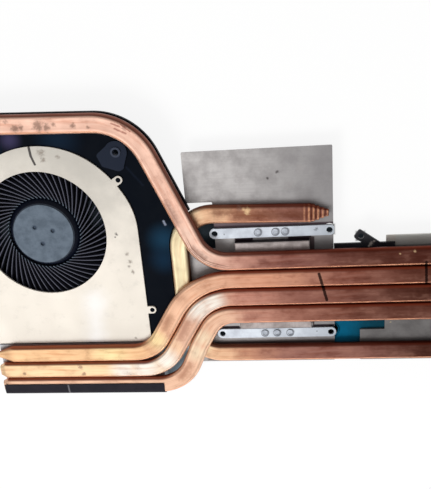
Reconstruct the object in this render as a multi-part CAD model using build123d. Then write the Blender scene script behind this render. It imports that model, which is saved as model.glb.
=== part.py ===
# Laptop cooling module: blower fan, five flattened heat pipes, fin stack and two contact plates.
# Millimetres. The origin is the middle of the processor's contact face and +Z points off the board.
import os
from math import atan2, cos, degrees, hypot, pi, radians, sin, tan
from build123d import *

os.makedirs("parts", exist_ok=True)

# Heat pipes: a round pipe pressed flat keeps the length round its section.
pipe_round = 6.0
pipe_height = 3.2
pipe_width = pipe_height + pi / 2 * (pipe_round - pipe_height)
pipe_gap = 0.1
pipe_pitch = pipe_width + pipe_gap
# Length, width and height of the two kinds of pipe end.
crimped_end = (7.0, 2.6, 1.2)
blunt_end = (2.4, 4.8, 2.0)

# Levels
contact_step = 0.2
plate_thickness = 1.0
plate_top = contact_step + plate_thickness
layer_gap = 0.1
loop_z = plate_top + pipe_height / 2
pipe_floor = plate_top + pipe_height + layer_gap
pipe_z = pipe_floor + pipe_height / 2
pipe_top = pipe_floor + pipe_height

# Fan
fan_x = -89.8
fan_y = 25.3
fan_bottom = -5.2
floor_thickness = 1.0
chamber_height = 7.8
cover_thickness = 0.7
chamber_floor = fan_bottom + floor_thickness
cover_seat = chamber_floor + chamber_height
cover_top = cover_seat + cover_thickness
inlet_radius = 25.6
outlet_radius = 38.2
spiral_growth = 0.0325
tongue_angle = 215.0
tongue_round = 1.5
wall = 1.2
flange_thickness = 1.4
outlet_y = -23.6
outlet_margin = 2.4
floor_ring = 0.8
spoke_width = 3.2
flange_reach = 5.0
flange_waist = 15.0
flange_foot = 1.6
flange_round = 2.5
rail_width = 3.0
stake_radius = 0.85
stake_clearance = 0.1
stake_ear_radius = 1.6
stake_offset = 1.9
stake_rise = 0.2
lower_stake_y = -9.2
ear_pad_radius = 4.3
ear_pad_corners = [(-2.0, 3.7), (-7.6, -0.7), (-5.8, -5.2), (0.4, -7.4), (2.2, -6.6), (4.1, -1.0)]
ear_pad_round = 1.2
ear_pad_rise = 0.6
ear_bore = 1.2
ear_ring = 2.0
ear_ring_rise = 0.9
ear_hole = (-56.3, 56.7)
left_ear_hole = (-121.0, 60.5)
left_ear_radius = 4.0

# Rotor and motor
blade_count = 59
blade_thickness = 0.45
blade_radius = 28.4
blade_height = 5.8
blade_lift = 1.0
hub_top_radius = 12.6
hub_radius = 14.8
hub_recess = 0.3
hub_skin = 0.8
hub_slope = 3.6
hub_edge = 0.5
blade_sink = 0.3
dimple_radius = 0.75
dimple_depth = 0.4
dimple_circle = 4.2
seat_step = 0.6
cup_radius = 11.6
cup_wall = 0.5
cup_lift = 0.6
cup_boss_height = 1.6
magnet_width = 1.2
magnet_height = 4.4
air_gap = 0.4
stator_height = 3.0
stator_lift = 0.6
pole_count = 6
pole_width = 2.0
shoe_thickness = 1.0
shoe_half_angle = 22.6
star_wall = 1.6
coil_width = 4.2
coil_rise = 0.5
coil_gap = 0.3
boss_radius = 4.0
boss_drop = 0.6
shoulder_radius = 5.0
shaft_radius = 1.0
running_clearance = 0.03
shaft_lift = 0.2
sleeve_radius = 2.5
sleeve_rise = 0.3
bore_skin = 0.5
board_radius = 11.4
board_thickness = 0.7

# Fin stack
fin_left = -117.8
outlet_left = fin_left - outlet_margin
fin_count = 62
fin_pitch = 1.145
fin_thickness = 0.22
fin_clearance = 0.4
fin_lift = 0.3
fin_near = outlet_y - fin_clearance
fin_depth = 24.4
tape_thickness = 0.25
tape_lap = 1.1

# Plates, block and arms
screw_spacing = 44.0
screw_bore = 1.2
screw_relief = 1.25
plate_left = -32.4
plate_low_left = -34.5
plate_right = 23.5
plate_far = 54.5
plate_near = -35.6
notch_right = -22.1
notch_low = 15.4
notch_high = 34.7
corner_round = 0.4
block_length = 28.6
block_width = 37.4
block_ledge = 1.5
block_edge = 0.3
seat_clearance = 0.2
arm_width = 4.1
arm_overhang = 0.25
arm_thickness = 1.0
rivet_radius = 0.8
rivet_head = 1.55
rivet_rise = 0.4
upper_rivets = (-5.2, 1.5, 5.2)
lower_rivets = (-4.6, 0.3, 5.6)

# Second plate, its block and its bracket
second_left = 43.3
second_right = 76.7
second_far = 18.5
tongue_left = 33.6
tongue_far = -21.7
second_block_length = 24.0
second_block_lap = 3.0
bracket_clearance = 0.4
bracket_gap = 0.1
bracket_lap = 3.2
bracket_far = 16.2
bracket_width = 5.2
bracket_ear = (33.8, 19.0)
bracket_root = (40.8, 13.9)
bracket_ear_width = 3.9
bracket_ear_end = 2.1
bracket_ear_round = 0.7
bracket_bore = 1.1
pad_thickness = 1.0
pad_relief = 1.65
memory_pad_near = -28.0
memory_pad_far = -16.5
memory_pad_lap = 3.0
regulator_pad_inset = 4.5

# Pipe runs: rows over the processor, rows over the fins, and where each bend's corner lies.
row_middle = 0.5
row_y = [row_middle + pipe_pitch * (1.5 - i) for i in range(4)]
fin_row_middle = -35.4
fin_row_y = [fin_row_middle + pipe_pitch * (1 - i) for i in range(3)]
pipe_left = -118.4
pipe_right = 82.0
upper_run_left = -125.0
upper_run_tilt = 2.05
upper_corner = (-49.5, 68.0)
row_corner_x = -26.1
upper_bend = 22.0
row_bend = 14.0
s_corner_x = -51.0
s_slope = 59.0
s_fin_bends = [14.0, 16.0, 16.0]
s_row_bend = 27.0
outer_fin_corner_x = -39.3
outer_kink_y = -24.5
outer_kink_bend = 20.0
loop_x = -36.2
loop_upper_y = 30.9
loop_upper_tilt = 1.6
loop_arm_y = 30.3
loop_bend = 14.0
loop_clearance = 0.15
loop_upper_tip = 21.8
loop_lower_tip = 80.0

fan_spot = Pos(fan_x, fan_y)
screw_spots = [(sx * screw_spacing / 2, sy * screw_spacing / 2) for sx in (-1, 1) for sy in (-1, 1)]


def keep(shape, name):
    shape.label = name
    export_step(shape, f"parts/{name}.step")


def prism(sketch, low, high):
    return extrude(Pos(0, 0, low) * sketch, high - low)


def disc(radius, low, high, spot=(0, 0)):
    return prism(Pos(*spot) * Circle(radius), low, high)


def outline(points, round_radius=0.0):
    face = make_face(Polyline(*points, close=True))
    return fillet(face.vertices(), round_radius) if round_radius else face


def strip(start, end, width):
    # Flat strip between two hole centres with round ends.
    dx, dy = end[0] - start[0], end[1] - start[1]
    middle = ((start[0] + end[0]) / 2, (start[1] + end[1]) / 2)
    return Pos(*middle) * Rot(0, 0, degrees(atan2(dy, dx))) * SlotCenterToCenter(hypot(dx, dy), width)


def pipe_section(width, height):
    return SlotOverall(width, height)


def bent_path(points, bends, z):
    # Straight runs joined by tangent arcs, one bend radius for each inner corner.
    edges = []
    start = Vector(*points[0], z)
    for before, corner, after, bend in zip(points, points[1:], points[2:], bends):
        corner_at = Vector(*corner, z)
        come = (corner_at - Vector(*before, z)).normalized()
        go = (Vector(*after, z) - corner_at).normalized()
        half = radians(come.get_angle(go)) / 2
        arc_start = corner_at - come * (bend * tan(half))
        arc_end = corner_at + go * (bend * tan(half))
        arc_mid = corner_at + (go - come).normalized() * (bend / cos(half) - bend)
        edges += [Edge.make_line(start, arc_start), Edge.make_three_point_arc(arc_start, arc_mid, arc_end)]
        start = arc_end
    edges.append(Edge.make_line(start, Vector(*points[-1], z)))
    return Wire(edges)


def heat_pipe(points, bends, z, first_end=crimped_end):
    # Flattened pipe swept along its run, pinched to a narrow tip at both ends.
    path = bent_path(points, bends, z)
    body = None
    for at, outward, (length, width, height) in ((0, -1, first_end), (1, 1, crimped_end)):
        along = (path % at) * outward
        tip_plane = Plane(path @ at, x_dir=along.cross(Vector(0, 0, 1)), z_dir=along)
        full = tip_plane * pipe_section(pipe_width, pipe_height)
        pinched = tip_plane.offset(length) * pipe_section(width, height)
        tip = loft([full, pinched])
        body = tip if body is None else body + tip
        if at == 0:
            body += sweep(full, path=path)
    return body


def upper_run_y(x):
    # The upper pipe's run falls a little toward its corner.
    return upper_corner[1] + (upper_corner[0] - x) * tan(radians(upper_run_tilt))


def beside(points, reach):
    # Start, corner and end of the line that keeps a set reach to the left of a bent line.
    start, corner, end = (Vector(*point) for point in points)
    come, go = (corner - start).normalized(), (end - corner).normalized()
    left, right = Vector(-come.Y, come.X), Vector(-go.Y, go.X)
    corner_shift = (left + right) * (reach / (1 + left.dot(right)))
    places = (start + left * reach, corner + corner_shift, end + right * reach)
    return [(place.X, place.Y) for place in places]


def spiral_radius(angle, margin):
    return outlet_radius - spiral_growth * angle + margin


def on_spiral(angle, margin):
    r = spiral_radius(angle, margin)
    return (fan_x + r * cos(radians(angle)), fan_y + r * sin(radians(angle)))


def volute(margin):
    # Air chamber in plan: straight right wall, spiral round the wheel, tongue, slanted left wall.
    right = fan_x + outlet_radius + margin
    start = (right, fan_y)
    tongue = on_spiral(tongue_angle, margin)
    foot = (outlet_left - margin, outlet_y)
    turns = [on_spiral(tongue_angle * i / 8, margin) for i in range(9)]
    edges = [
        Line((right, outlet_y), start),
        Spline(*turns, tangents=[(0, 1), (-sin(radians(tongue_angle)), cos(radians(tongue_angle)))]),
        Line(tongue, foot),
        Line(foot, (right, outlet_y)),
    ]
    face = make_face(Curve() + edges)
    corner = face.vertices().sort_by_distance(Vector(*tongue, 0))[0]
    return fillet(corner, tongue_round)


left_wall_middle = tuple(
    (a + b) / 2 for a, b in zip(on_spiral(tongue_angle, 0), (outlet_left, outlet_y)))
# Each stake with the point that its cover ear reaches toward.
stakes = [
    (on_spiral(32, stake_offset), (fan_x, fan_y)),
    ((fan_x + outlet_radius + stake_offset, lower_stake_y), (fan_x, lower_stake_y)),
    (on_spiral(150, stake_offset), (fan_x, fan_y)),
    ((left_wall_middle[0] - stake_offset, left_wall_middle[1]), (fan_x, left_wall_middle[1])),
]
second_middle = (second_left + second_right) / 2
bar_near = bracket_far - bracket_width

hub_top = cover_top - hub_recess
hub_cavity_top = hub_top - hub_skin
blade_low = chamber_floor + blade_lift
cup_low = blade_low + cup_lift
magnet_outer = cup_radius - cup_wall
magnet_inner = magnet_outer - magnet_width
stator_radius = magnet_inner - air_gap
stator_low = cup_low + stator_lift
stator_high = stator_low + stator_height
bore_floor = fan_bottom + bore_skin
boss_top = stator_high - boss_drop


def flange():
    # Sheet round the chamber: it follows the upper pipe's outer flank and stops short of the loop pipe.
    frame_left = left_ear_hole[0] - flange_reach
    top_left, top_corner, slope_end = beside([
        (left_ear_hole[0], upper_run_y(left_ear_hole[0])), upper_corner, (row_corner_x, row_y[0]),
    ], pipe_width / 2)
    sheet = make_face(Polyline(
        (loop_x, outlet_y), (loop_x, slope_end[1]), slope_end, top_corner, top_left,
        (frame_left, left_ear_hole[1]), (frame_left, fan_y - flange_waist),
        (outlet_left - flange_foot, outlet_y), close=True))
    bend = sheet.vertices().sort_by_distance(Vector(*top_corner))[0]
    sheet = fillet(bend, upper_bend + pipe_width / 2)
    sheet = fillet(sheet.vertices().filter_by_position(Axis.X, frame_left, fan_x), flange_round)
    loop_round = loop_bend + pipe_width / 2 + loop_clearance
    loop_side = 2 * (loop_upper_y + pipe_width / 2 + loop_clearance)
    loop_outer_x = loop_x - pipe_width / 2 - loop_clearance
    return sheet - Pos(loop_outer_x + loop_side / 2, 0) * RectangleRounded(loop_side, loop_side, loop_round)


def fan_frame():
    # Floor and spiral wall, flange out to the pipes, motor seat, ears and cover stakes.
    frame = prism(volute(0), fan_bottom, cover_seat)
    frame += prism(flange(), cover_seat - flange_thickness, cover_seat)
    frame -= prism(volute(-wall), chamber_floor, cover_seat)

    openings = Circle(inlet_radius - floor_ring) - Circle(hub_radius - seat_step)
    for turn in (45, 135):
        openings -= Rot(0, 0, turn) * Rectangle(3 * inlet_radius, spoke_width)
    frame -= prism(fan_spot * openings, fan_bottom, chamber_floor)
    frame += fan_spot * disc(shoulder_radius, chamber_floor, stator_low)
    frame += fan_spot * disc(boss_radius, stator_low, boss_top)
    frame -= fan_spot * disc(sleeve_radius, bore_floor, boss_top)

    rail_ends = (left_ear_hole[0], upper_corner[0] - upper_bend)
    rail = strip(*[(x, upper_run_y(x)) for x in rail_ends], rail_width)
    frame += prism(rail, cover_seat, pipe_floor)
    ear_pad = Pos(*ear_hole) * (outline(ear_pad_corners, ear_pad_round) + Circle(ear_pad_radius))
    frame += prism(ear_pad, cover_seat, cover_seat + ear_pad_rise)
    frame += disc(left_ear_radius, cover_seat, cover_seat + ear_pad_rise, left_ear_hole)
    for hole in (ear_hole, left_ear_hole):
        ring_top = cover_seat + ear_ring_rise
        frame += disc(ear_ring, cover_seat, ring_top, hole)
        frame -= disc(ear_bore, fan_bottom, ring_top, hole)
    for spot, aim in stakes:
        frame += disc(stake_radius, cover_seat, cover_top + stake_rise, spot)
    return frame


def fan_cover():
    sheet = volute(0) - fan_spot * Circle(inlet_radius)
    for spot, aim in stakes:
        reach = 2 * stake_offset / hypot(aim[0] - spot[0], aim[1] - spot[1])
        inward = (spot[0] + (aim[0] - spot[0]) * reach, spot[1] + (aim[1] - spot[1]) * reach)
        sheet += strip(spot, inward, 2 * stake_ear_radius)
    for spot, aim in stakes:
        sheet -= Pos(*spot) * Circle(stake_radius + stake_clearance)
    return prism(sheet, cover_seat, cover_top)


def blade():
    # Thin arc that leaves the hub at a slant and straightens toward the rim.
    def at(radius, angle, shift):
        turn = radians(angle) + shift / radius
        return (radius * cos(turn), radius * sin(turn))

    stations = [(hub_radius - blade_sink, -1.0), ((hub_radius + blade_radius) / 2, 19.0), (blade_radius, 29.0)]
    front = [at(r, a, 0) for r, a in stations]
    back = [at(r, a, blade_thickness) for r, a in stations]
    return make_face(Curve() + [
        ThreePointArc(*front),
        Line(front[-1], back[-1]),
        ThreePointArc(*reversed(back)),
        Line(back[0], front[0]),
    ])


def impeller():
    shoulder = hub_top - hub_slope
    profile = Plane.XZ * outline([
        (0, hub_top),
        (hub_top_radius - hub_edge, hub_top),
        (hub_top_radius, hub_top - hub_edge),
        (hub_radius, shoulder),
        (hub_radius, blade_low),
        (cup_radius, blade_low),
        (cup_radius, hub_cavity_top),
        (0, hub_cavity_top),
    ])
    wheel = revolve(profile, Axis.Z)
    one_blade = prism(blade(), blade_low, blade_low + blade_height)
    wheel += [Rot(0, 0, 360 * i / blade_count) * one_blade for i in range(blade_count)]
    for turn in (17, 137, 257):
        dimple = (dimple_circle * cos(radians(turn)), dimple_circle * sin(radians(turn)))
        wheel -= disc(dimple_radius, hub_top - dimple_depth, hub_top, dimple)
    return fan_spot * wheel


def rotor_cup():
    cup = disc(cup_radius, cup_low, hub_cavity_top)
    cup -= disc(magnet_outer, cup_low, hub_cavity_top - cup_wall)
    cup += disc(2 * shaft_radius, hub_cavity_top - cup_boss_height, hub_cavity_top)
    cup -= disc(shaft_radius, cup_low, hub_cavity_top)
    return fan_spot * cup


def ring(outer, inner, low, high):
    return fan_spot * prism(Circle(outer) - Circle(inner), low, high)


def pole_turns():
    return [Rot(0, 0, 360 * i / pole_count) for i in range(pole_count)]


def stator_core():
    # Laminated star with a wide shoe at the end of each pole.
    shoe = Circle(stator_radius) - Circle(stator_radius - shoe_thickness)
    far = 2 * stator_radius
    side = far * tan(radians(shoe_half_angle))
    wedge = make_face(Polyline((0, 0), (far, side), (far, -side), close=True))
    pole = Pos(stator_radius / 2, 0) * Rectangle(stator_radius - shoe_thickness, pole_width)
    pole += shoe & wedge
    star = Circle(boss_radius + star_wall)
    for turn in pole_turns():
        star += turn * pole
    return fan_spot * prism(star - Circle(boss_radius), stator_low, stator_high)


def stator_coils():
    inner = boss_radius + star_wall + coil_gap
    outer = stator_radius - shoe_thickness - coil_rise
    bundle = Pos((inner + outer) / 2, 0) * Rectangle(outer - inner, coil_width)
    neck = Pos((inner + outer) / 2, 0) * Rectangle(outer - inner, pole_width)
    coil = prism(bundle, stator_low - coil_rise, stator_high + coil_rise)
    coil -= prism(neck, stator_low, stator_high)
    return Compound([fan_spot * turn * coil for turn in pole_turns()])


def fin_stack():
    # Folded fins stand side by side, with their lips closing the top and the underside.
    length = fin_pitch * (fin_count - 1) + fin_thickness
    low = fan_bottom + fin_lift
    height = pipe_floor - low
    face = Pos(length / 2, height / 2) * Rectangle(length, height)
    slot = Rectangle(fin_pitch - fin_thickness, height - 2 * fin_thickness)
    face -= [Pos(fin_pitch * (i + 0.5) + fin_thickness / 2, height / 2) * slot for i in range(fin_count - 1)]
    return extrude(Plane((fin_left, fin_near, low), x_dir=(1, 0, 0), z_dir=(0, -1, 0)) * face, fin_depth)


def fin_edge_tape():
    # Tape from the outer pipe's top, round its flank and down to the fins' outer edge.
    y = fin_row_y[2]
    flat_end = y - (pipe_width - pipe_height) / 2
    inner, outer = pipe_height / 2, pipe_height / 2 + tape_thickness
    fin_edge = fin_near - fin_depth

    def flank(radius, angle):
        return (flat_end + radius * cos(radians(angle)), pipe_z + radius * sin(radians(angle)))

    profile = make_face(Curve() + [
        Line((y + tape_lap, pipe_top), (y + tape_lap, pipe_top + tape_thickness)),
        Line((y + tape_lap, pipe_top + tape_thickness), flank(outer, 90)),
        ThreePointArc(flank(outer, 90), flank(outer, 135), flank(outer, 180)),
        Line(flank(outer, 180), (fin_edge, pipe_floor + tape_thickness)),
        Line((fin_edge, pipe_floor + tape_thickness), (fin_edge, pipe_floor)),
        Line((fin_edge, pipe_floor), (fin_edge + tape_thickness, pipe_floor)),
        Line((fin_edge + tape_thickness, pipe_floor), flank(inner, 180)),
        ThreePointArc(flank(inner, 180), flank(inner, 135), flank(inner, 90)),
        Line(flank(inner, 90), (y + tape_lap, pipe_top)),
    ])
    length = fin_pitch * (fin_count - 1) + fin_thickness
    return extrude(Plane((fin_left, 0, 0), x_dir=(0, 1, 0), z_dir=(1, 0, 0)) * profile, length)


def seat_window(length, width):
    around = 2 * (block_ledge - seat_clearance)
    return Rectangle(length - around, width - around)


def rivet_spots():
    return [(x, screw_spacing / 2) for x in upper_rivets] + [(x, -screw_spacing / 2) for x in lower_rivets]


def base_plate():
    sheet = outline([
        (plate_low_left, plate_near), (plate_right, plate_near), (plate_right, plate_far),
        (plate_left, plate_far), (plate_left, notch_high), (notch_right, notch_high),
        (notch_right, notch_low), (plate_low_left, notch_low),
    ], corner_round)
    sheet -= seat_window(block_length, block_width)
    for spot in screw_spots:
        sheet -= Pos(*spot) * Circle(screw_bore + screw_relief)
    for spot in rivet_spots():
        sheet -= Pos(*spot) * Circle(rivet_radius)
    return prism(sheet, contact_step, plate_top)


def seated_block(length, width):
    # Foot that goes through the plate's window under a wider top that sits on the plate.
    top = prism(Rectangle(length, width), plate_top, pipe_floor)
    top = chamfer(top.faces().sort_by(Axis.Z)[-1].edges(), block_edge)
    return top + prism(Rectangle(length - 2 * block_ledge, width - 2 * block_ledge), 0, plate_top)


def spring_arm(y, rivets, square_end):
    arm = strip((-screw_spacing / 2, y), (screw_spacing / 2, y), arm_width)
    if square_end:
        # The screw end is cut square beside the plate's edge.
        arm -= Pos(plate_right + arm_overhang + arm_width / 2, y) * Rectangle(arm_width, arm_width)
    for x in (-screw_spacing / 2, screw_spacing / 2):
        arm -= Pos(x, y) * Circle(screw_bore)
    for x in rivets:
        arm -= Pos(x, y) * Circle(rivet_radius)
    return prism(arm, plate_top, plate_top + arm_thickness)


def arm_rivet(spot):
    top = plate_top + arm_thickness
    rivet = disc(rivet_radius, contact_step, top, spot) + disc(rivet_head, top, top + rivet_rise, spot)
    return rivet - disc(rivet_radius, top + rivet_rise / 2, top + rivet_rise, spot)


def second_plate():
    sheet = outline([
        (second_left, second_far), (second_right, second_far), (second_right, plate_near),
        (tongue_left, plate_near), (tongue_left, tongue_far), (second_left, tongue_far),
    ], corner_round)
    sheet -= second_block_spot * seat_window(second_block_length, second_block_width)
    return prism(sheet, contact_step, plate_top)


def bracket(bar_left):
    # Bar that laps the second plate's corner, with a slanted screw ear.
    bar_right = second_left + bracket_lap
    bar = Pos((bar_left + bar_right) / 2, (bar_near + bracket_far) / 2) * Rectangle(
        bar_right - bar_left, bracket_width)
    dx, dy = bracket_ear[0] - bracket_root[0], bracket_ear[1] - bracket_root[1]
    middle = ((bracket_ear[0] + bracket_root[0]) / 2, (bracket_ear[1] + bracket_root[1]) / 2)
    ear = RectangleRounded(hypot(dx, dy) + 2 * bracket_ear_end, bracket_ear_width, bracket_ear_round)
    bar += Pos(*middle) * Rot(0, 0, degrees(atan2(dy, dx))) * ear
    bar -= Pos(*bracket_ear) * Circle(bracket_bore)
    return prism(bar, plate_top, plate_top + arm_thickness)


def soft_pad(left, right, near, far):
    pad = Pos((left + right) / 2, (near + far) / 2) * Rectangle(right - left, far - near)
    for spot in screw_spots:
        pad -= Pos(*spot) * Circle(screw_bore + pad_relief)
    return prism(pad, contact_step - pad_thickness, contact_step)


def s_pipe(row):
    # Fin rows share one slope: each step out moves the corners by the half-slope tangent.
    step = pipe_pitch * tan(radians(s_slope / 2)) * row
    rise = row_y[row + 1] - fin_row_y[row]
    fin_corner = s_corner_x + step
    row_corner = fin_corner + rise / tan(radians(s_slope))
    corners = [(fin_corner, fin_row_y[row]), (row_corner, row_y[row + 1])]
    bends = [s_fin_bends[row], s_row_bend - pipe_pitch * row]
    if row == 2:
        # The outer row leaves the shared slope at a kink and runs steeper down to the fins.
        kink_x = row_corner - (row_y[row + 1] - outer_kink_y) / tan(radians(s_slope))
        corners = [(outer_fin_corner_x, fin_row_y[row]), (kink_x, outer_kink_y), corners[1]]
        bends.insert(1, outer_kink_bend)
    fin_end = crimped_end if row == 0 else blunt_end
    start, end = (pipe_left + fin_end[0], fin_row_y[row]), (pipe_right - crimped_end[0], row_y[row + 1])
    return heat_pipe([start, *corners, end], bends, pipe_z, fin_end)


second_block_far = bar_near - bracket_clearance
second_block_width = second_block_far - (row_y[3] - second_block_lap)
second_block_spot = Pos(second_middle, second_block_far - second_block_width / 2)

keep(fan_frame(), "fan_frame")
keep(fan_cover(), "fan_cover")
keep(ring(sleeve_radius, shaft_radius + running_clearance, bore_floor, boss_top + sleeve_rise), "bearing_sleeve")
keep(stator_core(), "stator_core")
keep(stator_coils(), "stator_coils")
keep(ring(board_radius, shoulder_radius, chamber_floor, chamber_floor + board_thickness), "motor_board")
keep(impeller(), "impeller")
keep(rotor_cup(), "rotor_cup")
keep(ring(magnet_outer, magnet_inner, cup_low, cup_low + magnet_height), "rotor_magnet")
keep(fan_spot * disc(shaft_radius, bore_floor + shaft_lift, hub_cavity_top), "rotor_shaft")

upper_start_x = upper_run_left + crimped_end[0]
keep(heat_pipe([
    (upper_start_x, upper_run_y(upper_start_x)), upper_corner,
    (row_corner_x, row_y[0]), (pipe_right - crimped_end[0], row_y[0]),
], [upper_bend, row_bend], pipe_z), "upper_heat_pipe")
for row, name in enumerate(("inner_fin_pipe", "middle_fin_pipe", "outer_fin_pipe")):
    keep(s_pipe(row), name)
loop_start_x = loop_upper_tip - crimped_end[0]
loop_fall = (loop_start_x - loop_x) * tan(radians(loop_upper_tilt))
keep(heat_pipe([
    (loop_start_x, loop_upper_y - loop_fall), (loop_x, loop_upper_y),
    (loop_x, -loop_arm_y), (loop_lower_tip - crimped_end[0], -loop_arm_y),
], [loop_bend, loop_bend], loop_z), "loop_heat_pipe")
keep(fin_stack(), "fin_stack")
keep(fin_edge_tape(), "fin_edge_tape")

keep(base_plate(), "base_plate")
keep(seated_block(block_length, block_width), "processor_block")
keep(spring_arm(screw_spacing / 2, upper_rivets, True), "upper_spring_arm")
keep(spring_arm(-screw_spacing / 2, lower_rivets, False), "lower_spring_arm")
keep(Compound([arm_rivet(spot) for spot in rivet_spots()]), "arm_rivets")
keep(second_plate(), "second_plate")
keep(second_block_spot * seated_block(second_block_length, second_block_width), "second_block")
keep(bracket(plate_right + bracket_gap), "side_bracket")
keep(mirror(bracket(bracket_root[0]), Plane.YZ.offset(second_middle)), "far_bracket")
keep(soft_pad(
    plate_right - memory_pad_lap, second_left + memory_pad_lap, memory_pad_near, memory_pad_far,
), "memory_pad")
keep(soft_pad(
    plate_left + regulator_pad_inset, plate_right - regulator_pad_inset,
    notch_high + regulator_pad_inset, plate_far - regulator_pad_inset,
), "regulator_pad")
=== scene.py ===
import math

import bmesh
import bpy
from mathutils import Matrix, Vector


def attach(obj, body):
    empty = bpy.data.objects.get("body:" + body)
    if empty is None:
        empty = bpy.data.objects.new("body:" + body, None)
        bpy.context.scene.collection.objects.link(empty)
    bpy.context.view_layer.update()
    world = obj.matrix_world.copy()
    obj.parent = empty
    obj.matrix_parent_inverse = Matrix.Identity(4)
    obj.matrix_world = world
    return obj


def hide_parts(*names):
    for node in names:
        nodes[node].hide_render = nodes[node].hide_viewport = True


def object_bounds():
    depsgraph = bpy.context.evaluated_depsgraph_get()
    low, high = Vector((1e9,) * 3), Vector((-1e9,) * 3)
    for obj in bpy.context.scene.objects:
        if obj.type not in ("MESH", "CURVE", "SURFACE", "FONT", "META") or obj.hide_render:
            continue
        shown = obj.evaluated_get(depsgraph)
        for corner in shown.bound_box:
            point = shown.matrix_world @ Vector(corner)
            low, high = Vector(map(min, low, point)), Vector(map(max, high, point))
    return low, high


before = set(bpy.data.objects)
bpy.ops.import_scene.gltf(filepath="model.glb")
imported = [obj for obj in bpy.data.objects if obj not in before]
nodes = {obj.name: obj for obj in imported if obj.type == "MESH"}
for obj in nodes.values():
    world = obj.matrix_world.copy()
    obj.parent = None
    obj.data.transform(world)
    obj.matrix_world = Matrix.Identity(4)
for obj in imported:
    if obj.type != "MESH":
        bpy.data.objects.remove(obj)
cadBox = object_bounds()
mm = 0.001
print("frame loaded,", len(nodes), "nodes")


# Colour and node helpers

# torn edges: sway by the noise, then where the edge starts and ends, in radii or widths
blotEdge = (1.8, 1.75, 0.95)
smearEdge = (1.4, 1.9, 0.7)
# where a pen line starts and ends, in widths
penEdge = (0.62, 0.38)
# the range that most of a noise's values lie in
noiseSpan = (0.3, 0.7)


def tint(red, green, blue):
    # screen levels of 0 to 255, as a linear colour
    levels = [value / 255 for value in (red, green, blue)]
    return tuple(v / 12.92 if v < 0.04 else ((v + 0.055) / 1.055) ** 2.4 for v in levels) + (1.0,)


def addNode(tree, kind, sockets=None, **settings):
    made = tree.nodes.new("ShaderNode" + kind)
    for key, value in settings.items():
        setattr(made, key, value)
    for key, value in (sockets or {}).items():
        if isinstance(value, bpy.types.NodeSocket):
            tree.links.new(value, made.inputs[key])
        else:
            made.inputs[key].default_value = value
    return made


def sums(tree, operation, first, second=0.0, third=0.0):
    return addNode(tree, "Math", {0: first, 1: second, 2: third}, operation=operation).outputs[0]


def times(tree, first, second):
    return sums(tree, "MULTIPLY", first, second)


def vectors(tree, operation, first, second=(0, 0, 0)):
    return addNode(tree, "VectorMath", {0: first, 1: second}, operation=operation).outputs[0]


def measure(tree, operation, first, second=(0, 0, 0)):
    made = addNode(tree, "VectorMath", {0: first, 1: second}, operation=operation)
    return made.outputs["Value"]


def placeInMm(tree):
    coords = addNode(tree, "TexCoord").outputs["Object"]
    return vectors(tree, "MULTIPLY", coords, (1000, 1000, 1000))


def facingOf(tree):
    return addNode(tree, "TexCoord").outputs["Normal"]


def axisOf(tree, vector, axis):
    return addNode(tree, "SeparateXYZ", {0: vector}).outputs[axis]


def flatOf(tree, where):
    return vectors(tree, "MULTIPLY", where, (1, 1, 0))


def noise(tree, where, size, detail=3.0, roughness=0.55, stretch=(1, 1, 1)):
    scaled = vectors(tree, "MULTIPLY", where, tuple(s / size for s in stretch))
    sockets = {"Vector": scaled, "Scale": 1.0, "Detail": detail, "Roughness": roughness}
    return addNode(tree, "TexNoise", sockets).outputs["Fac"]


def fade(tree, value, low, high, least=0.0, most=1.0):
    # smooth rise from least at low to most at high
    sockets = {"Value": value, "From Min": low, "From Max": high, "To Min": least, "To Max": most}
    return addNode(tree, "MapRange", sockets, interpolation_type="SMOOTHSTEP").outputs["Result"]


def swayed(tree, value, cloud, sway):
    # value moved to and fro by a noise
    return sums(tree, "MULTIPLY_ADD", cloud, sway, sums(tree, "SUBTRACT", value, sway / 2))


def blend(tree, factor, first, second, mode="MIX"):
    made = addNode(tree, "Mix", {0: factor, 6: first, 7: second}, data_type="RGBA", blend_type=mode)
    return made.outputs[2]


def coat(tree, body, mask, shade, share=1.0):
    # body with a shade laid over it where the mask is set
    factor = mask if share == 1.0 else times(tree, mask, share)
    return blend(tree, factor, body, tint(*shade))


def either(tree, masks):
    found = masks[0]
    for mask in masks[1:]:
        found = sums(tree, "MAXIMUM", found, mask)
    return found


def flatDistance(tree, where, centre):
    return measure(tree, "DISTANCE", flatOf(tree, where), (centre[0], centre[1], 0))


def spot(tree, where, centre, radius, soft=0.5):
    apart = flatDistance(tree, where, centre)
    return fade(tree, apart, radius * (1 + soft), radius * (1 - soft))


def inBox(tree, where, box, edge):
    # box is low x, low y, high x, high y
    middle = ((box[0] + box[2]) / 2, (box[1] + box[3]) / 2, 0)
    half = ((box[2] - box[0]) / 2, (box[3] - box[1]) / 2, 0)
    apart = vectors(tree, "ABSOLUTE", vectors(tree, "SUBTRACT", where, middle))
    past = vectors(tree, "SUBTRACT", apart, half)
    furthest = sums(tree, "MAXIMUM", axisOf(tree, past, 0), axisOf(tree, past, 1))
    return fade(tree, furthest, 0.0, -edge)


def lineDistance(tree, where, start, end):
    run = Vector((end[0] - start[0], end[1] - start[1], 0))
    offset = vectors(tree, "SUBTRACT", flatOf(tree, where), (start[0], start[1], 0))
    gone = sums(tree, "DIVIDE", measure(tree, "DOT_PRODUCT", offset, tuple(run)), run.length_squared)
    gone = addNode(tree, "Clamp", {0: gone}).outputs[0]
    nearest = addNode(tree, "VectorMath", {0: tuple(run), "Scale": gone}, operation="SCALE").outputs[0]
    return measure(tree, "DISTANCE", offset, nearest)


def tornEdge(tree, apart, size, torn, edge):
    sway, start, end = edge
    grown = sums(tree, "DIVIDE", apart, size)
    return fade(tree, sums(tree, "MULTIPLY_ADD", torn, sway, grown), start, end)


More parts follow.
